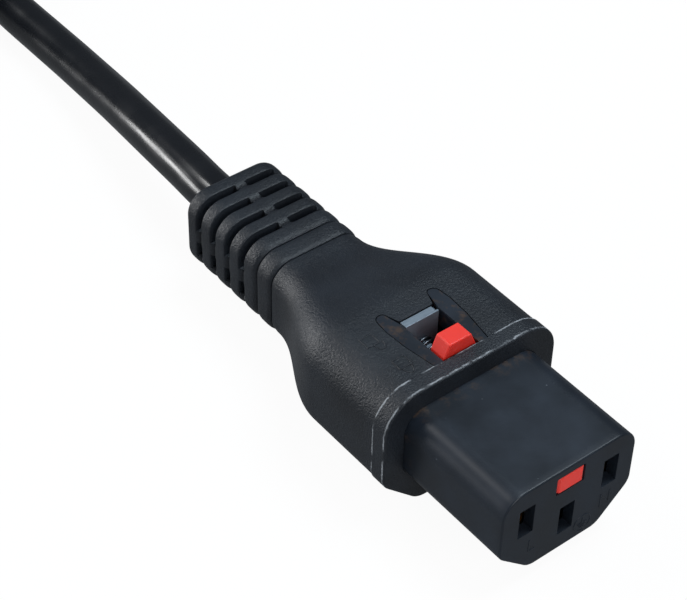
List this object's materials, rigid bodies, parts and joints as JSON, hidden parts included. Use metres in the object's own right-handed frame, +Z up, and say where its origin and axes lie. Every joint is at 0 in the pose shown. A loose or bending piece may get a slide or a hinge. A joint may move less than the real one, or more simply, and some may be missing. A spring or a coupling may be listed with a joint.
{
  "type": "c13 power connector",
  "caption": "Locking C13 appliance connector with a red release slider, on a moulded lead that ends in a C14 plug.",
  "frame": {"origin": "on the surface that the connector lies on, under the middle of the connector without its cord", "axes": "+X is the way the nose mates, +Z is up through the face with the release slider, and +Y is to the neutral side"},
  "size_m": [0.3848, 0.054, 0.0288],
  "materials": {
    "overmould": "satin",
    "insert_plastic": "satin",
    "slider_red": "satin",
    "bracket_steel": "satin",
    "spring_steel": "polished",
    "lock_steel": "satin",
    "contact_brass": "satin",
    "pin_brass": "polished",
    "copper": "satin",
    "core_brown": "satin",
    "core_blue": "satin",
    "core_green_yellow": "satin",
    "cord_pvc": "gloss",
    "tie_fabric": "matte"
  },
  "bodies": {
    "root": {"outer_shell": "overmould", "nose_insert": "insert_plastic", "contact_carrier": "insert_plastic", "stop_bracket": "bracket_steel", "slider_spring": "spring_steel", "live_contact": "contact_brass", "neutral_contact": "contact_brass", "earth_contact": "contact_brass", "live_strands": "copper", "neutral_strands": "copper", "earth_strands": "copper", "live_core": "core_brown", "neutral_core": "core_blue", "earth_core": "core_green_yellow", "cord_sheath": "cord_pvc", "cord_lead": "cord_pvc", "cord_hank": "cord_pvc", "run_strap": "tie_fabric", "climb_strap": "tie_fabric", "cord_tail": "cord_pvc", "plug_shell": "overmould", "plug_insert": "insert_plastic", "plug_live_pin": "pin_brass", "plug_neutral_pin": "pin_brass", "plug_earth_pin": "pin_brass", "plug_live_strands": "copper", "plug_neutral_strands": "copper", "plug_earth_strands": "copper", "plug_live_core": "core_brown", "plug_neutral_core": "core_blue", "plug_earth_core": "core_green_yellow", "plug_sheath": "cord_pvc"},
    "slider": {"release_slider": "slider_red"},
    "lock": {"lock_plate": "lock_steel"}
  },
  "joints": [
    {"name": "slider_slide", "type": "slide", "parent": "root", "child": "slider", "axis": [1, 0, 0], "range_m": [-0.003, 0], "stiffness_N_per_m": 300, "springref_m": 0.001, "deforming": ["slider_spring"]},
    {"name": "lock_tilt", "type": "hinge", "parent": "root", "child": "lock", "pos_m": [0.0302, 0, 0.00405], "axis": [0, 1, 0], "range_deg": [-17, 0]}
  ],
  "couplings": [
    {"joint": "lock_tilt", "follows": "slider_slide", "rad_per_m": 98}
  ]
}
